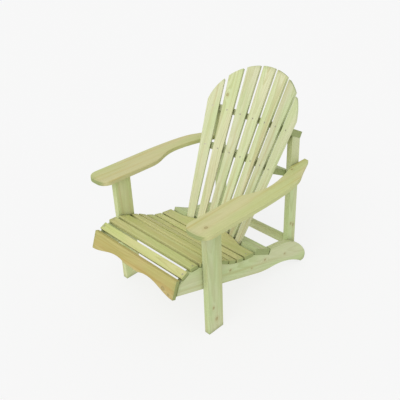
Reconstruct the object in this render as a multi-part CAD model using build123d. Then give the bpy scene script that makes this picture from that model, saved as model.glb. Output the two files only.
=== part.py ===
from build123d import *
import math
import os

os.makedirs("parts", exist_ok=True)

# Slatted wooden garden armchair with a fanned, dished back and a low sloping seat.
# Millimetres, +Z up, the sitter looks towards -Y. Left pieces are at -X, right pieces at +X.
# The pieces are laid out with y = 0 at the front of the legs and z = 0 on the ground;
# at the end everything slides along Y so that the origin is under the middle of the chair.

# ---------------------------------------------------------------- driving dimensions
board = 28.0             # thickness of legs, side rails, posts and back support planks
seat_board = 17.0        # thickness of the seat slats
back_board = 15.0        # thickness of the back slats
apron_board = 18.0       # thickness of the front apron
arm_board = 21.0         # thickness of the armrests

rail_outer = 266.0       # outer face of each side rail, from the middle plane
rail_inner = rail_outer - board
post_outer = rail_inner
post_inner = post_outer - board
leg_outer = rail_outer + board

leg_depth = 86.0         # front leg, front to back
post_front = 600.0       # rear post, front and back faces
post_rear = 655.0
post_bottom = 55.0

apron_tilt = 21.0        # apron leans back at the top by this angle
apron_top_y = -137.0     # top front edge of the apron
apron_top_z = 357.0
apron_half_length = 263.0

rail_slope = math.tan(math.radians(19.27))   # fall of the straight lower edge of a rail
rail_nose_z = 287.0                          # lower front corner of a rail

arm_height = 571.5       # top of the arm plane at y = 0
arm_fall = 1.26          # degrees the arm drops towards the rear
arm_inner = 240.0        # inner and outer straight edges of an arm
arm_outer = 366.0
arm_front = -78.0
arm_corner = 50.0        # radius of the rounded front corners
arm_tail = 700.0

back_lean = 28.0         # degrees the back leans from upright
back_y = 365.2           # where the front of the middle slat passes the height below
back_z = 250.0
fan_half_width = 171.0   # half width of the fan at back_z
fan_growth = 0.142       # half width gained for each millimetre up the back
fan_gap = 15.5           # gap between neighbouring slats
slat_turn = 0.123        # sine of the angle between a slat and its neighbour
slat_count = 7
slat_foot = -28.0        # slat feet, measured up the back
arch_centre = 515.0      # the slat tops follow half an ellipse
arch_half_width = 258.0
arch_rise = 253.0
arch_shift = 6.0         # the arch is sawn a little to the right of the middle

top_plank = 511.0        # underside of each back support plank, measured up the back
middle_plank = 326.0
lower_plank = -36.5
top_plank_rear = 54.0    # rear edge of each plank, measured square to the back
middle_plank_rear = 126.0
lower_plank_rear = 81.0
lower_plank_arc = 178.0  # half width of the hollow in the lower plank
lower_plank_step = -26.0 # front edge of the lower plank beside the slats
plank_seat_start = -32.0 # the rails are notched for the lower plank from here
plank_seat_end = 87.0    # to here, a little behind the plank

bar_front = 604.0        # cross bar between the posts
bar_rear = 626.0
bar_bottom = 118.0
bar_top = 162.0

edge_round = 2.0         # eased edges of the boards
arm_round = 3.0

screw_head = 8.0         # countersunk screws with a cross recess
screw_shank = 4.0
screw_cone = 2.6         # depth of the countersunk head
recess_length = 4.2
recess_width = 0.9
recess_depth = 1.2
slat_screw_length = 36.0
frame_screw_length = 50.0

dowel_radius = 4.0       # hidden dowels of the arms and the apron
dowel_in_frame = 20.0    # length in the leg or the rail
dowel_in_board = 11.0    # length in the arm or the apron

# ---------------------------------------------------------------- helpers


def finish_name(node, shape, store):
    """Keep a shape under its node name until the whole chair is placed."""
    shape.label = node
    store[node] = shape


def mirrored(shape):
    """The same piece on the other side of the chair."""
    return mirror(shape, about=Plane.YZ)


def outline_face(lines):
    """Flat face inside a closed run of lines and curves."""
    return make_face([edge for line in lines for edge in line.edges()])


def side_profile(lines, x_from, thickness):
    """Board cut from an outline drawn in the YZ plane, standing from x_from outwards."""
    board_solid = extrude(outline_face(lines), amount=thickness, dir=(1, 0, 0))
    return Pos(x_from, 0, 0) * board_solid


def side_box(x_range, y_range, z_range):
    """Plain block between the given limits."""
    sizes = [b - a for a, b in (x_range, y_range, z_range)]
    middle = [(a + b) / 2 for a, b in (x_range, y_range, z_range)]
    return Pos(*middle) * Box(*sizes)


def screw_shapes(head_at, direction, length):
    """A countersunk screw and the solid of the hole it fills, its head flush at head_at."""
    spot = Plane(origin=head_at, z_dir=direction)
    profile = Polyline(
        (0, 0),
        (screw_head / 2, 0),
        (screw_shank / 2, screw_cone),
        (screw_shank / 2, length - screw_shank),
        (0, length),
        close=True,
    )
    hole = revolve(Plane.XZ * make_face(profile), Axis.Z)
    recess = Box(recess_length, recess_width, 2 * recess_depth)
    recess += Box(recess_width, recess_length, 2 * recess_depth)
    screw = hole - recess
    return spot.location * screw, spot.location * hole


# The back has its own frame: x across, y backwards square to the slats, z up the back.
lean = math.radians(back_lean)
back_frame = Plane(
    origin=(0, back_y, back_z),
    x_dir=(1, 0, 0),
    z_dir=(0, math.sin(lean), math.cos(lean)),
)


def on_back(x, depth, up):
    """Point of the back frame in chair coordinates."""
    return back_frame.from_local_coords(Vector(x, depth, up))


def fan_half(up):
    """Half width of the whole fan at a distance up the back."""
    return fan_half_width + fan_growth * up


def fan_pitch(up):
    """Spacing of the slat centre lines at a distance up the back."""
    return (fan_half(up) + fan_gap / 2) / (slat_count / 2)


def dish_radius(up):
    """Radius of the dish, which opens upwards like a cone so that the slats stay flat."""
    return fan_pitch(up) / slat_turn


def dish(x, up, offset=0.0):
    """Depth of the dished back at x, for a surface offset behind the slat fronts."""
    radius = dish_radius(up)
    return math.sqrt((radius + offset) ** 2 - x * x) - radius


def arm_top(y):
    """Height of the arm's upper face at y."""
    return arm_height - math.tan(math.radians(arm_fall)) * y


pieces = {}
cuts = {}


def add_cut(node, hole):
    """Remember a screw hole to be cut from a piece."""
    cuts.setdefault(node, []).append(hole)


# ---------------------------------------------------------------- seat slats
# The slats follow one sweeping curve along the top of the rails. Each slat rests on a
# flat of its own; the flats are joined by short straight links.
notch_start = on_back(0, plank_seat_start, lower_plank)
seat_curve = Spline(
    (0, -107.5, 338.3),
    (0, -75.6, 354.1),
    (0, -40.6, 357.5),
    (0, -4.1, 351.0),
    (0, 42.0, 336.1),
    (0, 93.2, 313.9),
    (0, 144.9, 282.6),
    (0, 193.8, 259.2),
    (0, 248.0, 243.6),
    notch_start,
)
seat_start = 4.0
seat_widths = [36.0, 38.0, 55.5, 38.0, 46.0, 41.0, 41.0, 120.0]
seat_gaps = [12.2, 12.2, 17.4, 13.6, 10.4, 12.4, 12.3]
seat_half_lengths = [264.0, 264.0, 265.0, 265.0, 270.0, 270.0, 270.0, 270.0]
last_slat_reach = 60.0   # extra width of the last slat before it is scribed to the back
scribe_clearance = 2.0

seat_flats = []
walked = seat_start
for number, width in enumerate(seat_widths):
    start = seat_curve.position_at(walked, PositionMode.LENGTH)
    reach = min(walked + width, seat_curve.length)
    end = seat_curve.position_at(reach, PositionMode.LENGTH)
    seat_flats.append((start, end))
    if number < len(seat_gaps):
        walked += width + seat_gaps[number]

for number, (start, end) in enumerate(seat_flats, start=1):
    run = (end - start).normalized()
    flat = Plane(origin=(start + end) * 0.5, x_dir=(1, 0, 0), z_dir=Vector(1, 0, 0).cross(run))
    half_length = seat_half_lengths[number - 1]
    width = (end - start).length
    front = -width / 2
    if number == len(seat_flats):
        width += last_slat_reach
    blank = Box(2 * half_length, width, seat_board, align=(Align.CENTER, Align.MIN, Align.MIN))
    slat = flat.location * Pos(0, front, 0) * blank
    if number < len(seat_flats):
        slat = fillet(slat.edges(), edge_round)
    else:
        # The last slat is scribed to the dished back, with a small clearance.
        edge_x = 180.0
        edge_depth = dish(edge_x, slat_foot, -scribe_clearance)
        far = 300.0
        back_side = Polyline(
            (edge_x, edge_depth),
            (far, edge_depth),
            (far, far),
            (-far, far),
            (-far, edge_depth),
            (-edge_x, edge_depth),
        )
        front_arc = ThreePointArc(
            (-edge_x, edge_depth), (0, -scribe_clearance), (edge_x, edge_depth)
        )
        region = outline_face([back_side, front_arc])
        scribe = back_frame.location * extrude(Pos(0, 0, -100) * region, amount=200)
        slat = slat - scribe
        slat = fillet(slat.edges().filter_by(Axis.X), edge_round)
    finish_name(f"seat_slat_{number}", slat, pieces)

# ---------------------------------------------------------------- side rails
tilt = math.radians(apron_tilt)
apron_down = Vector(0, -math.sin(tilt), -math.cos(tilt))
apron_in = Vector(0, math.cos(tilt), -math.sin(tilt))
apron_back_top = Vector(0, apron_top_y, apron_top_z) + apron_in * apron_board


def apron_back_at(z):
    """Point of the apron's rear face at height z."""
    return apron_back_top + apron_down * ((apron_back_top.Z - z) / math.cos(tilt))


nose_low = apron_back_at(rail_nose_z)
nose_high = apron_back_at(seat_flats[0][0].Z - 7.5)
belly_y = 345.0
belly = Vector(0, belly_y, rail_nose_z - rail_slope * (belly_y - nose_low.Y))
heel = Vector(0, 678.0, 0)
toe = Vector(0, 696.0, 0)
notch_low = on_back(0, plank_seat_end, lower_plank)
notch_high = on_back(0, plank_seat_end, lower_plank + board)
hip = Vector(0, 449.0, 199.0)

seat_points = [nose_high]
for start, end in seat_flats[:-1]:
    seat_points += [start, end]
seat_points += [seat_flats[-1][0], notch_start, notch_low, notch_high, hip]

rail_edges = [
    Line(nose_low, belly),
    Spline(
        belly,
        (0, 424, 96.5),
        (0, 484, 88.0),
        (0, 547, 71.0),
        (0, 640, 27.0),
        heel,
        tangents=[(0, 1, -rail_slope), (0, 1, -0.85)],
    ),
    Line(heel, toe),
    Spline(
        toe,
        (0, 707, 11),
        (0, 710, 32),
        (0, 698, 63),
        (0, 673, 97),
        (0, 630, 138),
        (0, 582, 167),
        (0, 531, 184),
        (0, 490, 192),
        hip,
    ),
    Polyline(*reversed(seat_points)),
    Line(nose_high, nose_low),
]
rail = side_profile(rail_edges, rail_inner, board)


def meets_belly(edge):
    """True for the long edges that run along the underside of a rail."""
    ends = (edge.position_at(0), edge.position_at(1))
    return edge.length > board + 1 and any(abs(end.Y - belly.Y) < 0.1 for end in ends)


lower_rim = rail.edges().filter_by(meets_belly)
rail = fillet(lower_rim, edge_round)
pieces["side_rail_right"] = rail

# ---------------------------------------------------------------- front apron
apron_frame = Plane(
    origin=(0, apron_top_y, apron_top_z),
    x_dir=(1, 0, 0),
    z_dir=-apron_in,
)
apron_half_edge = [(225, -79), (180, -67), (130, -54.5), (95, -52), (66, -55.5), (44, -61)]
apron_end_depth = 83.0
apron_middle_depth = 60.0
apron_edge = Spline(
    (apron_half_length, -apron_end_depth),
    *apron_half_edge,
    (0, -apron_middle_depth),
    *[(-x, y) for x, y in reversed(apron_half_edge)],
    (-apron_half_length, -apron_end_depth),
)
apron_sides = Polyline(
    (-apron_half_length, -apron_end_depth),
    (-apron_half_length, 0),
    (apron_half_length, 0),
    (apron_half_length, -apron_end_depth),
)
apron = extrude(outline_face([apron_edge, apron_sides]), amount=-apron_board)
apron = fillet(apron.faces().sort_by(Axis.Z)[-1].edges(), edge_round)
pieces["front_apron"] = apron_frame.location * apron

# ---------------------------------------------------------------- front legs
fall = math.radians(arm_fall)
arm_frame = Plane(
    origin=(0, 0, arm_height),
    x_dir=(1, 0, 0),
    z_dir=(0, math.sin(fall), math.cos(fall)),
)
above_arm_underside = arm_frame.location * Pos(0, 0, -arm_board) * Box(
    2000, 2000, 400, align=(Align.CENTER, Align.CENTER, Align.MIN)
)
leg = side_box((rail_outer, leg_outer), (0, leg_depth), (0, arm_height))
leg = fillet(leg.edges().filter_by(Axis.Z), edge_round)
pieces["front_leg_right"] = leg - above_arm_underside

# ---------------------------------------------------------------- armrests
corner_y = arm_front + arm_corner
mid_corner = arm_corner * (1 - math.sqrt(0.5))
arm_outline = [
    Line((arm_inner + arm_corner, arm_front), (arm_outer - arm_corner, arm_front)),
    ThreePointArc(
        (arm_outer - arm_corner, arm_front),
        (arm_outer - mid_corner, arm_front + mid_corner),
        (arm_outer, corner_y),
    ),
    Line((arm_outer, corner_y), (arm_outer, 250)),
    Spline(
        (arm_outer, 250),
        (363, 358),
        (352, 472),
        (337, 534),
        (311, 588),
        (262, 695),
        tangents=[(0, 1), (-0.47, 1)],
    ),
    Line((262, 695), (post_outer, arm_tail)),
    Line((post_outer, arm_tail), (post_outer, post_front)),
    Spline(
        (post_outer, post_front),
        (262, 528),
        (283, 425),
        (283, 350),
        (265, 290),
        (arm_inner, 195),
        tangents=[(0.36, -1), (0, -1)],
    ),
    Line((arm_inner, 195), (arm_inner, corner_y)),
    ThreePointArc(
        (arm_inner, corner_y),
        (arm_inner + mid_corner, arm_front + mid_corner),
        (arm_inner + arm_corner, arm_front),
    ),
]
arm = extrude(outline_face(arm_outline), amount=-arm_board)
arm = fillet(arm.faces().sort_by(Axis.Z)[-1].edges(), arm_round)
arm = fillet(arm.faces().sort_by(Axis.Z)[0].edges(), arm_round)
pieces["armrest_right"] = arm_frame.location * arm

# ---------------------------------------------------------------- rear posts
above_top_plank_seat = back_frame.location * Pos(0, 0, top_plank) * Box(
    2000, 2000, 600, align=(Align.CENTER, Align.CENTER, Align.MIN)
)
post = side_box((post_inner, post_outer), (post_front, post_rear), (post_bottom, 900))
post = fillet(post.edges().filter_by(Axis.Z), edge_round)
pieces["rear_post_right"] = post - above_top_plank_seat

# ---------------------------------------------------------------- cross bar
bar = side_box((-post_inner, post_inner), (bar_front, bar_rear), (bar_bottom, bar_top))
pieces["rear_cross_bar"] = fillet(bar.edges().filter_by(Axis.X), edge_round)

# ---------------------------------------------------------------- back slats
arch_top = arch_centre + arch_rise
sawn_off = 20.0          # each blank is this much longer than the arch is high
beyond = 400.0
arch_blank = Rectangle(2 * beyond, beyond, align=(Align.CENTER, Align.MIN))
arch_keep = Ellipse(arch_half_width, arch_rise)
arch_tool = extrude(Plane.XZ * (arch_blank - arch_keep), amount=beyond, both=True)
arch_tool = back_frame.location * Pos(arch_shift, 0, arch_centre) * arch_tool

back_slats = []
slat_planes = []
for number in range(1, slat_count + 1):
    step = number - (slat_count + 1) / 2
    foot_x = step * fan_pitch(slat_foot)
    crown_x = step * fan_pitch(arch_top)
    foot = Vector(foot_x, dish(foot_x, slat_foot), slat_foot)
    crown = Vector(crown_x, dish(crown_x, arch_top), arch_top)
    rise = crown - foot
    turn = math.asin(step * slat_turn)
    radial = Vector(math.sin(turn), math.cos(turn), 0)
    rise_unit = rise.normalized()
    outward = (radial - rise_unit * radial.dot(rise_unit)).normalized()
    across = outward.cross(rise_unit)
    foot_half = (fan_pitch(slat_foot) - fan_gap) / 2 / math.cos(turn)
    crown_half = (fan_pitch(arch_top) - fan_gap) / 2 / math.cos(turn)
    spot = Plane(origin=foot, x_dir=across, z_dir=-outward)
    length = rise.length + sawn_off
    grown = crown_half + (crown_half - foot_half) * sawn_off / rise.length
    outline = Polyline(
        (-foot_half, 0),
        (foot_half, 0),
        (grown, length),
        (-grown, length),
        close=True,
    )
    blank = spot.location * extrude(make_face(outline), amount=-back_board)
    slat = back_frame.location * blank - arch_tool
    slat_planes.append((foot, rise_unit, outward))
    slat = fillet(slat.edges(), edge_round)
    back_slats.append(slat)
    finish_name(f"back_slat_{number}", slat, pieces)

# ---------------------------------------------------------------- back support planks


def support_plank(underside, half_length, rear, arc_half, step_depth):
    """Plank square to the back, its front edge hollowed to follow the dished slats."""
    arc_depth = dish(arc_half, underside, back_board)
    middle_depth = dish(0, underside, back_board)
    hollow = ThreePointArc((-arc_half, arc_depth), (0, middle_depth), (arc_half, arc_depth))
    right = [(arc_half, arc_depth)]
    if half_length > arc_half:
        right += [(arc_half + 1, step_depth), (half_length, step_depth)]
    right += [(half_length, rear)]
    left = [(-x, y) for x, y in reversed(right)]
    outline = Polyline(*(right + left))
    plank = extrude(Pos(0, 0, underside) * outline_face([outline, hollow]), amount=board)
    return back_frame.location * plank


planks = {
    "back_support_top": support_plank(top_plank, 240.0, top_plank_rear, 240.0, 0),
    "back_support_middle": support_plank(middle_plank, post_inner, middle_plank_rear, post_inner, 0),
    "back_support_lower": support_plank(
        lower_plank, rail_outer, lower_plank_rear, lower_plank_arc, lower_plank_step
    ),
}
for node, plank in planks.items():
    for slat in back_slats:
        plank = plank - slat
    pieces[node] = plank

# ---------------------------------------------------------------- left-hand pieces
for node in ("side_rail", "front_leg", "armrest", "rear_post"):
    pieces[f"{node}_left"] = mirrored(pieces[f"{node}_right"])

# ---------------------------------------------------------------- screws
slat_screws = []
frame_screws = []
dowels = []


def drive(head_at, direction, length, through, group):
    """Place one screw and note the pieces it passes through."""
    screw, hole = screw_shapes(head_at, direction, length)
    group.append(screw)
    for node in through:
        add_cut(node, hole)


def add_dowel(joint, into_frame, through):
    """Place one dowel across a joint, the longer part in the frame side."""
    spot = Plane(origin=joint, z_dir=into_frame)
    length = dowel_in_frame + dowel_in_board
    pin = Cylinder(dowel_radius, length, align=(Align.CENTER, Align.CENTER, Align.MIN))
    dowel = spot.location * Pos(0, 0, -dowel_in_board) * pin
    dowels.append(dowel)
    for node in through:
        add_cut(node, dowel)


# Back slats: one screw on each centre line at every support plank.
for number, (foot, rise_unit, outward) in enumerate(slat_planes, start=1):
    for node, underside in (
        ("back_support_top", top_plank),
        ("back_support_middle", middle_plank),
        ("back_support_lower", lower_plank),
    ):
        up = underside + board / 2
        head = foot + rise_unit * ((up - slat_foot) / rise_unit.Z)
        aim = back_frame.from_local_coords(head + outward) - back_frame.from_local_coords(head)
        head_at = back_frame.from_local_coords(head)
        drive(head_at, aim, slat_screw_length, (f"back_slat_{number}", node), slat_screws)

# Seat slats: one screw over each rail.
for number, (start, end) in enumerate(seat_flats, start=1):
    run = (end - start).normalized()
    down = run.cross(Vector(1, 0, 0))
    along = 0.5 if number < len(seat_flats) else 0.35
    spot = start + (end - start) * along - down * seat_board
    for side, sign in (("left", -1), ("right", 1)):
        head_at = Vector(sign * (rail_inner + board / 2), spot.Y, spot.Z)
        drive(head_at, down, slat_screw_length, (f"seat_slat_{number}", f"side_rail_{side}"), slat_screws)

for side, sign in (("left", -1), ("right", 1)):
    rail_middle = sign * (rail_inner + board / 2)
    outwards = Vector(sign, 0, 0)
    # Apron on the ends of the rails, with hidden dowels.
    for depth in (28.0, 56.0):
        spot = Vector(rail_middle, apron_back_top.Y, apron_back_top.Z) + apron_down * depth
        add_dowel(spot, apron_in, ("front_apron", f"side_rail_{side}"))
    # Rails into the legs, from inside.
    for y, z in ((24.0, 300.0), (62.0, 250.0)):
        spot = Vector(sign * rail_inner, y, z)
        drive(spot, outwards, frame_screw_length, (f"side_rail_{side}", f"front_leg_{side}"), frame_screws)
    # Arms on the legs, with hidden dowels.
    for y in (22.0, 64.0):
        top = Vector(sign * (rail_outer + board / 2), y, arm_top(y))
        spot = top - arm_frame.z_dir * arm_board
        add_dowel(spot, -arm_frame.z_dir, (f"armrest_{side}", f"front_leg_{side}"))
    # Posts into the inner edges of the arms.
    for y in (614.0, 641.0):
        spot = Vector(sign * post_inner, y, arm_top(y) - arm_board / 2)
        drive(spot, outwards, frame_screw_length - 5, (f"rear_post_{side}", f"armrest_{side}"), frame_screws)
    # Posts into the rails.
    for y, z in ((616.0, 92.0), (640.0, 76.0)):
        spot = Vector(sign * post_inner, y, z)
        drive(spot, outwards, frame_screw_length, (f"rear_post_{side}", f"side_rail_{side}"), frame_screws)
    # Top plank down into the posts.
    for depth in (10.0, 38.0):
        spot = on_back(sign * (post_inner + board / 2), depth, top_plank + board)
        aim = -back_frame.z_dir
        drive(spot, aim, frame_screw_length, ("back_support_top", f"rear_post_{side}"), frame_screws)
    # Posts into the ends of the middle plank.
    for depth in (96.0, 118.0):
        spot = on_back(sign * post_outer, depth, middle_plank + board / 2)
        drive(spot, -outwards, frame_screw_length, (f"rear_post_{side}", "back_support_middle"), frame_screws)
    # Posts into the ends of the cross bar.
    for z in (130.0, 150.0):
        spot = Vector(sign * post_outer, (bar_front + bar_rear) / 2, z)
        drive(spot, -outwards, frame_screw_length, (f"rear_post_{side}", "rear_cross_bar"), frame_screws)
    # Lower plank down into the rails.
    for depth in (20.0, 72.0):
        spot = on_back(rail_middle, depth, lower_plank + board)
        aim = -back_frame.z_dir
        drive(spot, aim, frame_screw_length, ("back_support_lower", f"side_rail_{side}"), frame_screws)

for node, holes in cuts.items():
    for hole in holes:
        pieces[node] = pieces[node] - hole

# ---------------------------------------------------------------- placing and writing
limits = [piece.bounding_box() for piece in pieces.values()]
front_most = min(box.min.Y for box in limits)
rear_most = max(box.max.Y for box in limits)
centring = Location((0, -(front_most + rear_most) / 2, 0))

for node, piece in pieces.items():
    placed = centring * piece
    placed.label = node
    export_step(placed, f"parts/{node}.step")

groups = {"slat_screws": slat_screws, "frame_screws": frame_screws, "joint_dowels": dowels}
for node, group in groups.items():
    placed = Compound(children=[centring * solid for solid in group], label=node)
    export_step(placed, f"parts/{node}.step")
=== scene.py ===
import math

import bpy
import numpy as np
from mathutils import Matrix, Vector


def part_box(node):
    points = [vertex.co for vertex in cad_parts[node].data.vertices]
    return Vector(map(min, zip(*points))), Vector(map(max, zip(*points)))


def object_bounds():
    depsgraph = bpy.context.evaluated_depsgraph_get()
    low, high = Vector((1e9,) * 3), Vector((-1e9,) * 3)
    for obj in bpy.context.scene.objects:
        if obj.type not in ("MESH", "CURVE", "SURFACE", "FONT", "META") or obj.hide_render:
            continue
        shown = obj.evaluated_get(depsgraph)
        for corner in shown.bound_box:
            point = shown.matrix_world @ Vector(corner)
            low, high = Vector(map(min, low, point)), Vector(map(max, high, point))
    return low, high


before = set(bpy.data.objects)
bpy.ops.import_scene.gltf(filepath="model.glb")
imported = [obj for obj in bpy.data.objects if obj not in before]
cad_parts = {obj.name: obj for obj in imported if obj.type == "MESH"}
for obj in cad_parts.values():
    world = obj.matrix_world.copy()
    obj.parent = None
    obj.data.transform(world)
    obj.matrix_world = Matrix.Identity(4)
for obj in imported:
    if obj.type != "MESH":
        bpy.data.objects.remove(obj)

cad_low, cad_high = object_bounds()

# ------------------------------------------------------------------ settings, in metres
rounded_edge = 0.0022           # width of the rounded edges of a board, which also carry a painted highlight
grain_depth = 0.0007         # height of the grain's relief
scratch_depth = 0.0001       # height of the screw heads' scratches
painted_shade_reach = 0.055        # how far the painted crevice shade reaches
soaked_length = 0.020        # how far the treatment has crept in from a sawn end
knots_per_metre = (2.6, 9.0)  # chances of a small knot along and across a board
no_knot = 99.0               # a distance, in knot radii, that no knot reaches
floor_half = 60.0            # from the middle of the floor to its edges
floor_glow = 0.79            # the floor gives out most of its brightness itself
sky_strength = 0.72

# ------------------------------------------------------------------ node helpers


class Tree:
    """Short ways to add shader nodes: a socket or a number goes in, a socket comes out."""

    def __init__(self, tree):
        self.tree = tree

    def add(self, kind, **settings):
        node = self.tree.nodes.new(kind)
        for name, value in settings.items():
            setattr(node, name, value)
        return node

    def put(self, socket, value):
        if isinstance(value, bpy.types.NodeSocket):
            self.tree.links.new(value, socket)
        elif value is not None:
            socket.default_value = value

    def math(self, operation, a, b=None, c=None, clamp=False):
        node = self.add("ShaderNodeMath", operation=operation, use_clamp=clamp)
        for socket, value in zip(node.inputs, (a, b, c)):
            self.put(socket, value)
        return node.outputs[0]

    def vector(self, operation, a, b=None, scale=None):
        node = self.add("ShaderNodeVectorMath", operation=operation)
        self.put(node.inputs[0], a)
        if b is not None:
            self.put(node.inputs[1], b)
        if scale is not None:
            self.put(node.inputs["Scale"], scale)
        return node.outputs["Value"] if operation in ("LENGTH", "DOT_PRODUCT") else node.outputs[0]

    def combine(self, x, y, z):
        node = self.add("ShaderNodeCombineXYZ")
        for socket, value in zip(node.inputs, (x, y, z)):
            self.put(socket, value)
        return node.outputs[0]

    def split(self, vector):
        node = self.add("ShaderNodeSeparateXYZ")
        self.put(node.inputs[0], vector)
        return node.outputs

    def smooth(self, value, low, high, to_low=0.0, to_high=1.0):
        node = self.add("ShaderNodeMapRange", interpolation_type="SMOOTHSTEP", clamp=True)
        for socket, item in zip(node.inputs[:5], (value, low, high, to_low, to_high)):
            self.put(socket, item)
        return node.outputs[0]

    def noise(self, vector, scale=1.0, detail=2.0, rough=0.5, dims="3D", colour=False):
        node = self.add("ShaderNodeTexNoise", noise_dimensions=dims)
        if dims == "1D":
            self.put(node.inputs["W"], vector)
        else:
            self.put(node.inputs["Vector"], vector)
        node.inputs["Scale"].default_value = scale
        node.inputs["Detail"].default_value = detail
        node.inputs["Roughness"].default_value = rough
        return node.outputs["Color" if colour else "Fac"]

    def mix(self, factor, a, b, blend="MIX"):
        node = self.add("ShaderNodeMix", data_type="RGBA", blend_type=blend)
        node.clamp_factor = True
        self.put(node.inputs[0], factor)
        self.put(node.inputs[6], a)
        self.put(node.inputs[7], b)
        return node.outputs[2]


def group(name, inputs, outputs):
    tree = bpy.data.node_groups.new(name, "ShaderNodeTree")
    for label, kind in inputs:
        tree.interface.new_socket(label, in_out="INPUT", socket_type=kind)
    for label, kind in outputs:
        tree.interface.new_socket(label, in_out="OUTPUT", socket_type=kind)
    make = Tree(tree)
    return tree, make, make.add("NodeGroupInput").outputs, make.add("NodeGroupOutput").inputs


FLOAT, VECTOR, COLOUR = "NodeSocketFloat", "NodeSocketVector", "NodeSocketColor"

# ------------------------------------------------------------------ one knot
# A knot is a dead branch that crosses the board through its thickness.

knot_tree, t, gin, gout = group(
    "Knot",
    [("Vector", VECTOR), ("Centre", VECTOR), ("Radius", FLOAT)],
    [("Near", FLOAT), ("Bend", FLOAT)],
)
away = t.vector("SUBTRACT", gin["Vector"], gin["Centre"])
wobble = t.vector("SUBTRACT", t.noise(gin["Vector"], 160.0, 2.0, colour=True), (0.5, 0.5, 0.5))
away = t.vector("ADD", away, t.vector("SCALE", wobble, scale=0.0035))
kx, ky = t.split(away)[:2]
kx = t.math("MULTIPLY", kx, 0.78)
reach = t.math("SQRT", t.math("ADD", t.math("MULTIPLY", kx, kx), t.math("MULTIPLY", ky, ky)))
t.put(gout["Near"], t.math("DIVIDE", reach, gin["Radius"]))
flow_x = t.math("DIVIDE", kx, t.math("MULTIPLY", gin["Radius"], 3.4))
flow_y = t.math("DIVIDE", ky, t.math("MULTIPLY", gin["Radius"], 1.7))
flow = t.math("ADD", t.math("MULTIPLY", flow_x, flow_x), t.math("MULTIPLY", flow_y, flow_y))
bend = t.math("EXPONENT", t.math("MULTIPLY", flow, -1.0))
t.put(gout["Bend"], t.math("MULTIPLY", bend, t.math("MULTIPLY", gin["Radius"], 2.4)))

# ------------------------------------------------------------------ treated pine
# The wood is worked out in three dimensions, in the board's own axes: X along the grain,
# Y across the board, Z through it. Rings are cylinders round a pith that misses the board.

pine_tree, t, gin, gout = group(
    "TreatedPine",
    [
        ("Vector", VECTOR), ("Facing", VECTOR), ("Seed", FLOAT), ("Half", FLOAT),
        ("PithY", FLOAT), ("PithZ", FLOAT), ("Ring", FLOAT), ("Contrast", FLOAT),
        ("Early", COLOUR), ("Late", COLOUR), ("Stain", COLOUR),
        ("Near", FLOAT), ("Bend", FLOAT),
    ],
    [("Color", COLOUR), ("Roughness", FLOAT), ("Height", FLOAT)],
)
place = gin["Vector"]
seed = gin["Seed"]
away_from_others = t.combine(seed, t.math("MULTIPLY", seed, 1.7), t.math("MULTIPLY", seed, 0.6))
drift = t.vector("ADD", place, away_from_others)

# slow wander of the grain
slow = t.noise(t.vector("MULTIPLY", drift, (1.9, 7.0, 7.0)), 1.0, 1.0, colour=True)
slow = t.vector("SCALE", t.vector("SUBTRACT", slow, (0.5, 0.5, 0.5)), scale=0.030)
quick_wave = t.noise(t.vector("MULTIPLY", drift, (9.0, 34.0, 34.0)), 1.0, 2.0, colour=True)
quick_wave = t.vector("SCALE", t.vector("SUBTRACT", quick_wave, (0.5, 0.5, 0.5)), scale=0.0042)
px, py, pz = t.split(t.vector("ADD", place, t.vector("ADD", slow, quick_wave)))

# small knots scattered along the board
scatter = t.add("ShaderNodeTexVoronoi", voronoi_dimensions="2D", feature="F1")
flat_x, flat_y, flat_z = t.split(drift)
cell_x = t.math("MULTIPLY", flat_x, knots_per_metre[0])
cell_y = t.math("MULTIPLY", flat_y, knots_per_metre[1])
t.put(scatter.inputs["Vector"], t.combine(cell_x, cell_y, 0.0))
scatter.inputs["Scale"].default_value = 1.0
scatter.inputs["Randomness"].default_value = 0.9
knot_x, knot_y = t.split(scatter.outputs["Position"])[:2]
knot_x = t.math("DIVIDE", knot_x, knots_per_metre[0])
knot_y = t.math("DIVIDE", knot_y, knots_per_metre[1])
centre = t.combine(knot_x, knot_y, flat_z)
chance, size_of = t.split(scatter.outputs["Color"])[:2]
radius = t.math("MULTIPLY_ADD", size_of, 0.0045, 0.0022)
knot = t.add("ShaderNodeGroup", node_tree=knot_tree)
t.put(knot.inputs["Vector"], drift)
t.put(knot.inputs["Centre"], centre)
t.put(knot.inputs["Radius"], radius)
present = t.math("GREATER_THAN", chance, 0.74)
absent = t.math("SUBTRACT", 1.0, present)
scatter_near = t.math("ADD", knot.outputs["Near"], t.math("MULTIPLY", absent, no_knot))
scatter_bend = t.math("MULTIPLY", knot.outputs["Bend"], present)
near = t.math("MINIMUM", scatter_near, gin["Near"])
bent = t.math("MAXIMUM", scatter_bend, gin["Bend"])

# growth rings
side = t.math("ADD", t.math("SUBTRACT", py, gin["PithY"]), t.math("MULTIPLY", px, 0.010))
depth = t.math("ADD", t.math("SUBTRACT", pz, gin["PithZ"]), t.math("MULTIPLY", px, 0.016))
ring_radius = t.math("ADD", t.math("MULTIPLY", side, side), t.math("MULTIPLY", depth, depth))
ring_radius = t.math("SQRT", ring_radius)
ring_radius = t.math("ADD", ring_radius, bent)
count = t.math("DIVIDE", ring_radius, gin["Ring"])
uneven = t.noise(t.math("ADD", count, seed), 0.42, 1.0, dims="1D")
count = t.math("ADD", count, t.math("MULTIPLY", uneven, 1.5))
within = t.math("FRACT", count)
late = t.math("MULTIPLY", t.smooth(within, 0.30, 0.90), t.smooth(within, 0.90, 1.0, 1.0, 0.0))
year = t.noise(t.math("ADD", t.math("FLOOR", count), seed), 3.7, 0.0, dims="1D")
late = t.math("MULTIPLY", late, t.smooth(year, 0.25, 0.75, 0.45, 1.0))

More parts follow.
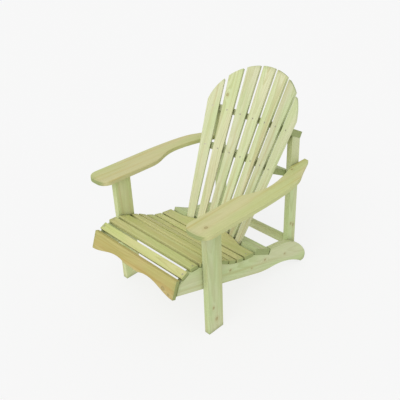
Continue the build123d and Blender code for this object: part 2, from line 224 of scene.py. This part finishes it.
# fibres, pores and long streaks
fibre = t.noise(t.vector("MULTIPLY", drift, (11.0, 620.0, 620.0)), 1.0, 3.0, 0.62)
hair = t.noise(t.vector("MULTIPLY", drift, (60.0, 2600.0, 2600.0)), 1.0, 2.0, 0.6)
streak = t.noise(t.vector("MULTIPLY", drift, (1.3, 46.0, 46.0)), 1.0, 3.0, 0.55)
streak = t.smooth(streak, 0.50, 0.72)
cloud = t.noise(t.vector("MULTIPLY", drift, (3.2, 11.0, 11.0)), 1.0, 3.0, 0.55)
cloud = t.smooth(cloud, 0.36, 0.66)

colour = t.mix(t.math("MULTIPLY", late, gin["Contrast"]), gin["Early"], gin["Late"])
colour = t.mix(t.math("MULTIPLY", streak, 0.72), colour, gin["Stain"])
green = t.mix(1.0, colour, (0.88, 1.0, 0.83, 1.0), "MULTIPLY")
colour = t.mix(t.math("MULTIPLY", cloud, 0.85), colour, green)
shade = t.math("ADD", 0.86, t.math("MULTIPLY", fibre, 0.30))
shade = t.math("MULTIPLY", shade, t.smooth(hair, 0.25, 0.62, 0.93, 1.02))
colour = t.mix(1.0, colour, t.combine(shade, shade, shade), "MULTIPLY")

# knots: an amber halo, a brown heart with its own rings, a dark bark line, fine checks
halo = t.smooth(near, 1.0, 3.2, 1.0, 0.0)
heart = t.smooth(near, 0.90, 1.04, 1.0, 0.0)
bark = t.math("MULTIPLY", t.smooth(near, 0.74, 0.96), t.smooth(near, 1.0, 1.22, 1.0, 0.0))
knot_ring = t.math("SINE", t.math("MULTIPLY", near, 21.0))
knot_ring = t.math("MULTIPLY_ADD", knot_ring, 0.12, 0.5)
knot_colour = t.mix(knot_ring, (0.26, 0.20, 0.070, 1.0), (0.44, 0.36, 0.14, 1.0))
colour = t.mix(t.math("MULTIPLY", halo, 0.34), colour, (0.47, 0.39, 0.17, 1.0))
colour = t.mix(t.math("MULTIPLY", heart, 0.55), colour, knot_colour)
colour = t.mix(t.math("MULTIPLY", bark, 0.50), colour, (0.17, 0.14, 0.045, 1.0))

# sawn ends drink more of the treatment, and show the rings end on
facing = t.math("ABSOLUTE", t.split(gin["Facing"])[0])
end_grain = t.smooth(facing, 0.55, 0.92)
from_end = t.math("SUBTRACT", gin["Half"], t.math("ABSOLUTE", t.split(place)[0]))
soaked = t.smooth(from_end, 0.0, soaked_length, 0.28, 0.0)
end_shade = t.math("ADD", soaked, t.math("MULTIPLY", end_grain, 0.55), clamp=True)
end_colour = t.mix(t.math("MULTIPLY", late, 0.8), (0.30, 0.36, 0.14, 1.0), (0.16, 0.20, 0.06, 1.0))
colour = t.mix(end_shade, colour, end_colour)

t.put(gout["Color"], colour)
rough = t.math("ADD", 0.60, t.math("MULTIPLY", fibre, 0.16))
rough = t.math("ADD", rough, t.math("MULTIPLY", late, -0.07))
rough = t.math("ADD", rough, t.math("MULTIPLY", heart, -0.10))
rough = t.math("ADD", rough, t.math("MULTIPLY", end_grain, 0.16), clamp=True)
t.put(gout["Roughness"], rough)
cracks = t.noise(t.vector("MULTIPLY", drift, (4.5, 240.0, 240.0)), 1.0, 2.0)
cracks = t.smooth(cracks, 0.72, 0.80, 0.0, -1.0)
height = t.math("ADD", t.math("MULTIPLY", late, 0.42), t.math("MULTIPLY", fibre, 0.55))
height = t.math("ADD", height, t.math("MULTIPLY", hair, 0.22))
height = t.math("ADD", height, t.math("MULTIPLY", cracks, 0.9))
knot_height = t.math("SUBTRACT", heart, t.math("MULTIPLY", bark, 1.6))
height = t.math("ADD", height, t.math("MULTIPLY", knot_height, 0.8))
t.put(gout["Height"], height)

# ------------------------------------------------------------------ boards


leg_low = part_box("front_leg_right")[0]


def chair_point(point):
    """A point measured from the front of the legs, moved to the shared frame."""
    x, y, z = point
    return Vector((x, leg_low[1] + y, z))


def board_axes(obj):
    """The board's centre, its axes from longest to thinnest, and its half length."""
    mesh = obj.data
    mesh.calc_loop_triangles()
    points = np.zeros(len(mesh.vertices) * 3)
    mesh.vertices.foreach_get("co", points)
    points = points.reshape(-1, 3)
    corners = np.zeros(len(mesh.loop_triangles) * 3, dtype=np.int32)
    mesh.loop_triangles.foreach_get("vertices", corners)
    tri = points[corners.reshape(-1, 3)]
    area = np.linalg.norm(np.cross(tri[:, 1] - tri[:, 0], tri[:, 2] - tri[:, 0]), axis=1)
    middle = tri.mean(axis=1)
    centre = (middle * area[:, None]).sum(0) / area.sum()
    away = middle - centre
    vectors = np.linalg.eigh((away * area[:, None]).T @ away)[1]
    axes = vectors[:, ::-1].T
    lead = axes[0] * (1 if axes[0][np.argmax(np.abs(axes[0]))] > 0 else -1)
    thin = axes[2] * (1 if axes[2][np.argmax(np.abs(axes[2]))] > 0 else -1)
    axes = np.array([lead, np.cross(thin, lead), thin])
    local = (points - centre) @ axes.T
    middle_x = (local[:, 0].max() + local[:, 0].min()) / 2
    centre = centre + axes[0] * middle_x
    return centre, axes, (local[:, 0].max() - local[:, 0].min()) / 2


def pine(node, seed, colours, ring=0.0042, pith=(0.02, 0.06), contrast=0.5, knots=()):
    """Treated pine for one board. A knot is a point of the chair in metres, and a radius."""
    early, late, stain = colours
    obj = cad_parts[node]
    centre, axes, half = board_axes(obj)
    turn = Matrix(axes.tolist())
    shift = -(turn @ Vector(centre))
    material = bpy.data.materials.new("pine_" + node)
    material.use_nodes = True
    make = Tree(material.node_tree)
    shader = material.node_tree.nodes["Principled BSDF"]
    coords = make.add("ShaderNodeTexCoord")
    rotation = turn.to_euler("XYZ")

    def mapped(socket, moved):
        node_map = make.add("ShaderNodeMapping", vector_type="POINT")
        make.put(node_map.inputs["Vector"], socket)
        node_map.inputs["Rotation"].default_value = rotation
        if moved:
            node_map.inputs["Location"].default_value = shift
        return node_map.outputs[0]

    place = mapped(coords.outputs["Object"], True)
    facing = mapped(coords.outputs["Normal"], False)
    near, bend = no_knot, 0.0
    for point, radius in knots:
        along, across = (turn @ (chair_point(point) - Vector(centre)))[:2]
        one = make.add("ShaderNodeGroup", node_tree=knot_tree)
        make.put(one.inputs["Vector"], place)
        flat = make.combine(along, across, make.split(place)[2])
        make.put(one.inputs["Centre"], flat)
        one.inputs["Radius"].default_value = radius
        near = make.math("MINIMUM", one.outputs["Near"], near)
        bend = make.math("MAXIMUM", one.outputs["Bend"], bend)
    wood = make.add("ShaderNodeGroup", node_tree=pine_tree)
    values = {
        "Vector": place, "Facing": facing, "Seed": seed, "Half": half,
        "PithY": pith[0], "PithZ": pith[1], "Ring": ring, "Contrast": contrast,
        "Early": (*early, 1.0), "Late": (*late, 1.0), "Stain": (*stain, 1.0),
        "Near": near, "Bend": bend,
    }
    for label, value in values.items():
        make.put(wood.inputs[label], value)
    edge = make.add("ShaderNodeBevel", samples=4)
    edge.inputs["Radius"].default_value = rounded_edge
    bump = make.add("ShaderNodeBump")
    bump.inputs["Strength"].default_value = 0.55
    bump.inputs["Distance"].default_value = grain_depth
    make.put(bump.inputs["Height"], wood.outputs["Height"])
    make.put(bump.inputs["Normal"], edge.outputs[0])
    flat_normal = make.add("ShaderNodeNewGeometry").outputs["Normal"]
    # painted highlight: the colour is made paler along the rounded edges
    edge_highlight = make.vector("DOT_PRODUCT", edge.outputs[0], flat_normal)
    edge_highlight = make.smooth(edge_highlight, 0.80, 0.995, 0.30, 0.0)
    highlight_colour = make.mix(1.0, wood.outputs["Color"], (1.18, 1.14, 1.06, 1.0), "MULTIPLY")
    colour = make.mix(edge_highlight, wood.outputs["Color"], highlight_colour)
    # painted shade: the colour is darkened in crevices and corners, where the occlusion test finds
    # wood close by
    corner = make.add("ShaderNodeAmbientOcclusion", samples=8)
    corner.inputs["Distance"].default_value = painted_shade_reach
    unshaded_share = make.smooth(corner.outputs["AO"], 0.10, 0.72)
    painted_shade_colour = make.mix(1.0, colour, (0.20, 0.21, 0.11, 1.0), "MULTIPLY")
    make.put(shader.inputs["Base Color"], make.mix(unshaded_share, painted_shade_colour, colour))
    make.put(shader.inputs["Roughness"], wood.outputs["Roughness"])
    make.put(shader.inputs["Normal"], bump.outputs[0])
    shader.inputs["Specular IOR Level"].default_value = 0.32
    shader.inputs["IOR"].default_value = 1.45
    obj.data.materials.clear()
    obj.data.materials.append(material)


def tone(colours, factor=1.0, warm=0.0):
    """The colours of one board, made lighter by factor and warmer by warm."""
    return [
        (r * factor * (1 + warm), g * factor, b * factor * (1 - warm)) for r, g, b in colours
    ]


# early wood, late wood and stain of each kind of board
slat_wood = [(0.67, 0.67, 0.44), (0.50, 0.49, 0.25), (0.56, 0.49, 0.26)]
seat_wood = [(0.60, 0.59, 0.28), (0.45, 0.43, 0.15), (0.50, 0.46, 0.17)]
frame_wood = [(0.58, 0.61, 0.36), (0.44, 0.45, 0.21), (0.50, 0.47, 0.24)]
arm_wood = [(0.60, 0.57, 0.30), (0.47, 0.43, 0.18), (0.53, 0.44, 0.17)]
apron_wood = [(0.56, 0.46, 0.19), (0.42, 0.32, 0.10), (0.48, 0.33, 0.10)]

back_tones = [1.02, 1.00, 0.98, 1.02, 1.00, 0.94, 0.98]
back_warmth = [-0.01, 0.015, -0.01, 0.0, 0.01, -0.01, 0.0]
for number in range(1, 8):
    node = f"back_slat_{number}"
    knots = [((-0.170, 0.640, 0.775), 0.0050)] if number == 2 else ()
    pine(
        node, 1.37 * number, tone(slat_wood, back_tones[number - 1], back_warmth[number - 1]),
        ring=0.0036 + 0.0004 * (number % 3),
        pith=(0.012 * (number - 4), 0.035 + 0.012 * (number % 4)),
        contrast=0.48 + 0.06 * (number % 3), knots=knots,
    )

for number in range(1, 9):
    pine(
        f"seat_slat_{number}", 20.0 + 1.61 * number,
        tone(seat_wood, 0.98 + 0.05 * math.sin(2.1 * number), 0.01),
        ring=0.0038, pith=(0.008 * (number % 3), 0.04 + 0.010 * (number % 4)), contrast=0.5,
    )

# knots that stand out, measured from the front of the legs, with their radii
rail_knots = [
    ((0.266, 0.544, 0.118), 0.0040), ((0.266, 0.397, 0.164), 0.0045),
    ((0.266, 0.305, 0.167), 0.0035), ((0.266, 0.165, 0.238), 0.0045),
]
leg_knots = [((0.294, 0.046, 0.061), 0.0060), ((0.294, 0.029, 0.132), 0.0045)]
post_knots = [((0.238, 0.618, 0.240), 0.0050), ((0.238, 0.635, 0.226), 0.0060)]
arm_knots = [((0.314, -0.017, 0.570), 0.0060), ((0.261, 0.574, 0.558), 0.0040)]
apron_knots = [((0.200, -0.155, 0.300), 0.0070), ((0.236, -0.160, 0.290), 0.0045)]

for number, side in enumerate(("left", "right")):
    seen = side == "right"
    leg_wood = frame_wood if seen else tone(frame_wood, 1.12, 0.02)
    side_arm_wood = arm_wood if seen else tone(arm_wood, 0.96)
    pine(
        f"side_rail_{side}", 40.0 + 2.3 * number, frame_wood,
        ring=0.0052, pith=(0.02, 0.09), knots=rail_knots if seen else (),
    )
    pine(
        f"front_leg_{side}", 50.0 + 2.9 * number, leg_wood,
        ring=0.0046, pith=(0.01, 0.07), knots=leg_knots if seen else (),
    )
    pine(
        f"rear_post_{side}", 60.0 + 3.1 * number, tone(frame_wood, 1.05),
        ring=0.0042, pith=(0.01, 0.06), knots=post_knots if seen else (),
    )
    pine(
        f"armrest_{side}", 70.0 + 3.7 * number, side_arm_wood,
        ring=0.0066, pith=(0.015, 0.05), contrast=0.26, knots=arm_knots if seen else (),
    )
pine(
    "front_apron", 80.0, tone(apron_wood, 0.94),
    ring=0.0048, pith=(0.01, 0.07), contrast=0.5, knots=apron_knots,
)

rear_boards = (
    "back_support_top", "back_support_middle", "back_support_lower",
    "rear_cross_bar", "joint_dowels",
)
for number, node in enumerate(rear_boards):
    pine(node, 90.0 + 2.2 * number, frame_wood, ring=0.0046, pith=(0.02, 0.08))

# ------------------------------------------------------------------ screws
steel = bpy.data.materials.new("screw_steel")
steel.use_nodes = True
t = Tree(steel.node_tree)
shader = steel.node_tree.nodes["Principled BSDF"]
where = t.add("ShaderNodeTexCoord").outputs["Object"]
mottle = t.noise(where, 900.0, 3.0)
scratch = t.noise(t.vector("MULTIPLY", where, (400.0, 5200.0, 5200.0)), 1.0, 2.0)
t.put(shader.inputs["Base Color"], t.mix(mottle, (0.42, 0.40, 0.31, 1.0), (0.60, 0.56, 0.42, 1.0)))
t.put(shader.inputs["Roughness"], t.math("MULTIPLY_ADD", scratch, 0.30, 0.28))
bump = t.add("ShaderNodeBump")
bump.inputs["Strength"].default_value = 0.25
bump.inputs["Distance"].default_value = scratch_depth
t.put(bump.inputs["Height"], scratch)
t.put(shader.inputs["Normal"], bump.outputs[0])
shader.inputs["Metallic"].default_value = 0.85
for node in ("slat_screws", "frame_screws"):
    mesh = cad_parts[node].data
    mesh.materials.clear()
    mesh.materials.append(steel)

# ------------------------------------------------------------------ floor and light


def stage_plane(name, half, z):
    mesh = bpy.data.meshes.new(name)
    corners = [(-half, -half, z), (half, -half, z), (half, half, z), (-half, half, z)]
    mesh.from_pydata(corners, [], [(0, 1, 2, 3)])
    obj = bpy.data.objects.new(name, mesh)
    bpy.context.scene.collection.objects.link(obj)
    return obj


floor = stage_plane("floor", floor_half, cad_low.z)
paper = bpy.data.materials.new("paper")
paper.use_nodes = True
shader = paper.node_tree.nodes["Principled BSDF"]
shader.inputs["Base Color"].default_value = (0.14, 0.14, 0.14, 1.0)
shader.inputs["Emission Color"].default_value = (1.0, 1.0, 1.0, 1.0)
shader.inputs["Emission Strength"].default_value = floor_glow
shader.inputs["Roughness"].default_value = 0.9
shader.inputs["Specular IOR Level"].default_value = 0.0
floor.data.materials.append(paper)

world = bpy.data.worlds.new("studio")
bpy.context.scene.world = world
world.use_nodes = True
sky = world.node_tree.nodes["Background"]
sky.inputs["Color"].default_value = (1.0, 1.0, 1.0, 1.0)
sky.inputs["Strength"].default_value = sky_strength


def sun(name, azimuth, elevation, strength, spread):
    """A soft distant lamp. Azimuth 0 shines from the front of the chair."""
    lamp = bpy.data.lights.new(name, "SUN")
    lamp.energy = strength
    lamp.angle = math.radians(spread)
    obj = bpy.data.objects.new(name, lamp)
    a, e = math.radians(azimuth), math.radians(elevation)
    back = Vector((math.sin(a) * math.cos(e), -math.cos(a) * math.cos(e), math.sin(e)))
    obj.rotation_mode = "QUATERNION"
    obj.rotation_quaternion = back.to_track_quat("Z", "Y")
    bpy.context.scene.collection.objects.link(obj)


sun("key", 20.0, 50.0, 1.25, 50.0)

# ------------------------------------------------------------------ camera
camera_target = chair_point((0.0941, 0.1680, 0.5186))
camera_azimuth, camera_elevation, camera_roll = 46.38, 31.46, -2.51
camera_distance = 2.46807
frame_width = 400.0
focal_width = 587.53

camera = bpy.data.cameras.new("camera")
camera.sensor_width = 36.0
camera.lens = focal_width * camera.sensor_width / frame_width
camera.clip_start, camera.clip_end = 0.01, 200.0
camera_object = bpy.data.objects.new("camera", camera)
bpy.context.scene.collection.objects.link(camera_object)
a, e = math.radians(camera_azimuth), math.radians(camera_elevation)
back = Vector((math.sin(a) * math.cos(e), -math.cos(a) * math.cos(e), math.sin(e)))
right = Vector((math.cos(a), math.sin(a), 0.0))
up = back.cross(right)
roll = math.radians(camera_roll)
rolled_right = right * math.cos(roll) + up * math.sin(roll)
rolled_up = up * math.cos(roll) - right * math.sin(roll)
pose = Matrix((rolled_right, rolled_up, back)).transposed().to_4x4()
pose.translation = camera_target + back * camera_distance
camera_object.matrix_world = pose
bpy.context.scene.camera = camera_object

scene = bpy.context.scene
scene.view_settings.view_transform = "Standard"
scene.view_settings.look = "None"
